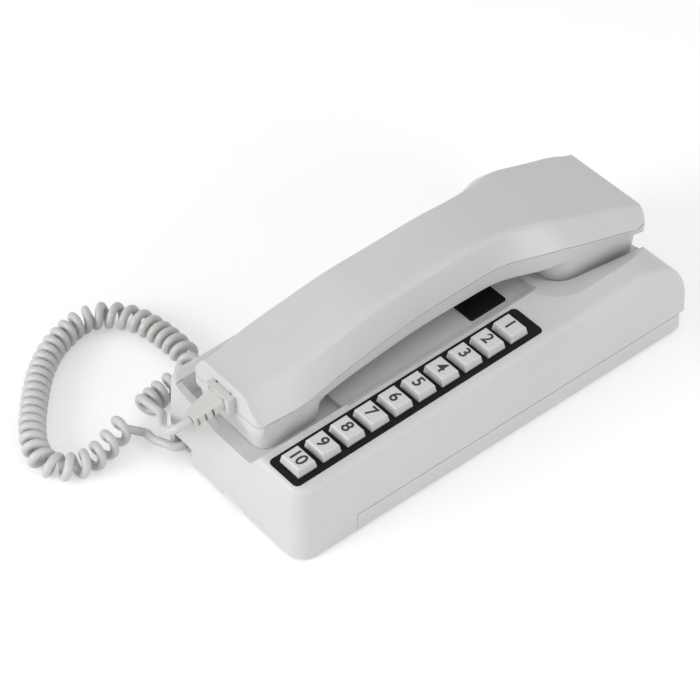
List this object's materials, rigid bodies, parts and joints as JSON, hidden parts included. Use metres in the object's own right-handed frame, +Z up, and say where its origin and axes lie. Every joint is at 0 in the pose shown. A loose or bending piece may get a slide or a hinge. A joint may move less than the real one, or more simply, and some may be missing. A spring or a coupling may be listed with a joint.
{
  "type": "marine intercom telephone",
  "caption": "Desk or wall intercom telephone with a lift-off handset, a column of sprung numbered keys and a curly cord.",
  "frame": {"origin": "bottom centre of the base, on the surface that the feet stand on", "axes": "+X to the key side, +Y along the phone to the earpiece end, +Z up"},
  "size_m": [0.1782, 0.2825, 0.0746],
  "materials": {
    "case": "fine satin texture",
    "key_cap": "satin",
    "panel": "fine matt texture",
    "rubber": "matt",
    "grey_rubber": "matt",
    "inner_plastic": "satin",
    "board": "solder resist",
    "steel": "zinc plated",
    "clear_plastic": "clear",
    "cord": "smooth soft plastic"
  },
  "bodies": {
    "base": {"base_cover": "case", "base_tray": "case", "board_parts": "inner_plastic", "board_screws": "steel", "call_buzzer": "inner_plastic", "circuit_board": "board", "cord_base_tail": "cord", "cord_coil": "cord", "cord_handset_tail": "cord", "cord_plug": "clear_plastic", "handset_jack": "inner_plastic", "hook_spring": "steel", "hook_switch": "inner_plastic", "key_panel": "panel", "key_spring_1": "steel", "key_spring_10": "steel", "key_spring_2": "steel", "key_spring_3": "steel", "key_spring_4": "steel", "key_spring_5": "steel", "key_spring_6": "steel", "key_spring_7": "steel", "key_spring_8": "steel", "key_spring_9": "steel", "key_switches": "inner_plastic", "label_plate": "panel", "line_terminal": "inner_plastic", "rubber_feet": "rubber", "terminal_screws": "steel"},
    "handset": {"handset_upper_shell": "case", "handset_lower_shell": "case", "handset_screws": "steel", "receiver_capsule": "inner_plastic", "receiver_gasket": "rubber", "microphone_capsule": "inner_plastic", "microphone_gasket": "rubber", "handset_weight": "steel", "strain_relief": "grey_rubber"},
    "hook_plunger": {"hook_plunger": "key_cap"},
    "key_1": {"key_1": "key_cap"},
    "key_2": {"key_2": "key_cap"},
    "key_3": {"key_3": "key_cap"},
    "key_4": {"key_4": "key_cap"},
    "key_5": {"key_5": "key_cap"},
    "key_6": {"key_6": "key_cap"},
    "key_7": {"key_7": "key_cap"},
    "key_8": {"key_8": "key_cap"},
    "key_9": {"key_9": "key_cap"},
    "key_10": {"key_10": "key_cap"}
  },
  "joints": [
    {"name": "handset_lift", "type": "slide", "parent": "base", "child": "handset", "axis": [0, 0, 1], "range_m": [0, 0.06]},
    {"name": "hook_press", "type": "slide", "parent": "base", "child": "hook_plunger", "axis": [0, -0.0271, 0.9996], "range_m": [0, 0.0035], "stiffness_N_per_m": 60, "springref_m": 0.005, "deforming": ["hook_spring"]},
    {"name": "key_1_press", "type": "slide", "parent": "base", "child": "key_1", "axis": [0, 0.0271, -0.9996], "range_m": [0, 0.0015], "stiffness_N_per_m": 400, "springref_m": -0.0008, "deforming": ["key_spring_1"]},
    {"name": "key_2_press", "type": "slide", "parent": "base", "child": "key_2", "axis": [0, 0.0271, -0.9996], "range_m": [0, 0.0015], "stiffness_N_per_m": 400, "springref_m": -0.0008, "deforming": ["key_spring_2"]},
    {"name": "key_3_press", "type": "slide", "parent": "base", "child": "key_3", "axis": [0, 0.0271, -0.9996], "range_m": [0, 0.0015], "stiffness_N_per_m": 400, "springref_m": -0.0008, "deforming": ["key_spring_3"]},
    {"name": "key_4_press", "type": "slide", "parent": "base", "child": "key_4", "axis": [0, 0.0271, -0.9996], "range_m": [0, 0.0015], "stiffness_N_per_m": 400, "springref_m": -0.0008, "deforming": ["key_spring_4"]},
    {"name": "key_5_press", "type": "slide", "parent": "base", "child": "key_5", "axis": [0, 0.0271, -0.9996], "range_m": [0, 0.0015], "stiffness_N_per_m": 400, "springref_m": -0.0008, "deforming": ["key_spring_5"]},
    {"name": "key_6_press", "type": "slide", "parent": "base", "child": "key_6", "axis": [0, 0.0271, -0.9996], "range_m": [0, 0.0015], "stiffness_N_per_m": 400, "springref_m": -0.0008, "deforming": ["key_spring_6"]},
    {"name": "key_7_press", "type": "slide", "parent": "base", "child": "key_7", "axis": [0, 0.0271, -0.9996], "range_m": [0, 0.0015], "stiffness_N_per_m": 400, "springref_m": -0.0008, "deforming": ["key_spring_7"]},
    {"name": "key_8_press", "type": "slide", "parent": "base", "child": "key_8", "axis": [0, 0.0271, -0.9996], "range_m": [0, 0.0015], "stiffness_N_per_m": 400, "springref_m": -0.0008, "deforming": ["key_spring_8"]},
    {"name": "key_9_press", "type": "slide", "parent": "base", "child": "key_9", "axis": [0, 0.0271, -0.9996], "range_m": [0, 0.0015], "stiffness_N_per_m": 400, "springref_m": -0.0008, "deforming": ["key_spring_9"]},
    {"name": "key_10_press", "type": "slide", "parent": "base", "child": "key_10", "axis": [0, 0.0271, -0.9996], "range_m": [0, 0.0015], "stiffness_N_per_m": 400, "springref_m": -0.0008, "deforming": ["key_spring_10"]}
  ],
  "couplings": [
    {"joint": "hook_press", "follows": "handset_lift", "ratio": 0.058333}
  ]
}
